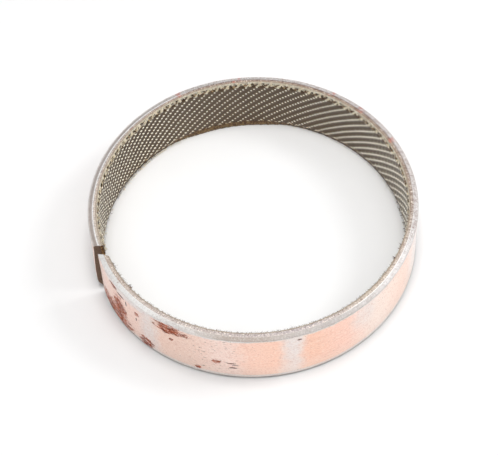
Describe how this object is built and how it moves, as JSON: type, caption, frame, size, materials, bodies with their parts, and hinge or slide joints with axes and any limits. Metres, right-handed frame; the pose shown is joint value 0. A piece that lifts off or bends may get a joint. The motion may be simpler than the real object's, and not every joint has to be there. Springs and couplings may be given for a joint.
{
  "type": "rolled split bush",
  "caption": "Short open ring of copper-flashed steel strip, split once, with a woven-wire and PTFE lined bore and chamfered edges.",
  "frame": {"origin": "on the bore axis, in the plane of the lower end face that the bush stands on", "axes": "+Z along the bore axis; the split is at about 198 degrees from +X towards +Y"},
  "size_m": [0.08, 0.08, 0.0165],
  "materials": {
    "steel": "satin",
    "copper": "satin",
    "bond": "matte",
    "bronze_warp": "satin",
    "bronze_weft": "satin",
    "ptfe": "matte"
  },
  "bodies": {
    "root": {"steel_backing": "steel", "copper_flash": "copper", "bond_layer": "bond", "warp_wires": "bronze_warp", "weft_wires": "bronze_weft", "ptfe_liner": "ptfe"}
  },
  "joints": []
}
